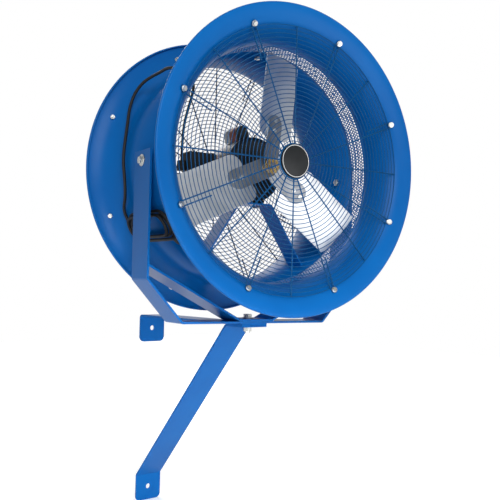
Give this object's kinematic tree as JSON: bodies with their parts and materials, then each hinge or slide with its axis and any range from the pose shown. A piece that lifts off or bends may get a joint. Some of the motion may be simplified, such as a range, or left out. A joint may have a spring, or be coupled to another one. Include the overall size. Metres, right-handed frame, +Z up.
{
  "type": "wall fan",
  "caption": "High-velocity wall fan: a steel drum with wire guards and paddle blades in a tilting yoke, swinging on a braced flat-bar wall arm",
  "frame": {"origin": "the middle of the two wall bolts, in the plane of the wall", "axes": "+Z up, -Y out from the wall into the room, +X to the right as seen from the room; yoke and drum are stored swung 9 degrees about the pivot, as they hang in use"},
  "size_m": [0.9438, 0.8141, 1.5596],
  "materials": {
    "blue_enamel": "semi-gloss powder coat",
    "zinc_steel": "zinc plated",
    "black_enamel": "satin black enamel",
    "black_plastic": "matt moulded",
    "cord_rubber": "matt black jacket",
    "bright_aluminium": "mill finish",
    "cast_aluminium": "as cast",
    "grey_steel": "plain rolled steel",
    "varnished_laminations": "red-brown varnish"
  },
  "bodies": {
    "wall_bracket": {"wall_arm": "blue_enamel", "wall_brace": "blue_enamel", "pivot_bolt": "zinc_steel", "pivot_washer": "zinc_steel", "pivot_nut": "zinc_steel"},
    "yoke": {"yoke_strap": "blue_enamel", "yoke_brace": "blue_enamel"},
    "housing": {"box_neck": "black_plastic", "cable_elbow": "black_plastic", "capacitor_cover": "black_enamel", "cord_coil": "cord_rubber", "cord_gland": "black_plastic", "cord_plug": "cord_rubber", "cord_tie": "cord_rubber", "front_bearing": "grey_steel", "front_bell": "blue_enamel", "front_guard_bolts": "zinc_steel", "front_guard_nuts": "zinc_steel", "front_guard_rings": "blue_enamel", "front_guard_spokes": "blue_enamel", "guard_badge": "black_enamel", "hanger_bolt": "zinc_steel", "hanger_nut": "zinc_steel", "inner_cable": "cord_rubber", "motor_bracket": "blue_enamel", "motor_foot": "black_enamel", "motor_foot_bolts": "zinc_steel", "motor_front_bell": "black_enamel", "motor_rear_bell": "cast_aluminium", "motor_shell": "black_enamel", "perforated_band": "blue_enamel", "power_cord": "cord_rubber", "rear_bearing": "grey_steel", "rear_bell": "blue_enamel", "rear_guard_bolts": "zinc_steel", "rear_guard_nuts": "zinc_steel", "rear_guard_rings": "blue_enamel", "rear_guard_spokes": "blue_enamel", "stator_core": "varnished_laminations", "terminal_box": "black_plastic", "tilt_bolts": "zinc_steel", "tilt_nuts": "zinc_steel", "tilt_spacers": "black_plastic", "tilt_washers": "zinc_steel"},
    "rotor": {"motor_shaft": "grey_steel", "rotor_core": "grey_steel", "spider": "grey_steel", "blade_1": "bright_aluminium", "blade_2": "bright_aluminium", "blade_3": "bright_aluminium", "blade_rivets": "zinc_steel"}
  },
  "joints": [
    {"name": "yoke_pan", "type": "hinge", "parent": "wall_bracket", "child": "yoke", "pos_m": [0, -0.509, 0.3272], "axis": [0, 0, 1], "range_deg": [-81, 99]},
    {"name": "drum_tilt", "type": "hinge", "parent": "yoke", "child": "housing", "pos_m": [0, -0.509, 0.7855], "axis": [0.9877, -0.1564, 0], "range_deg": [-5, 20]},
    {"name": "rotor_spin", "type": "hinge", "parent": "housing", "child": "rotor", "pos_m": [0, -0.509, 0.7935], "axis": [0.1564, 0.9877, 0], "continuous": true}
  ]
}
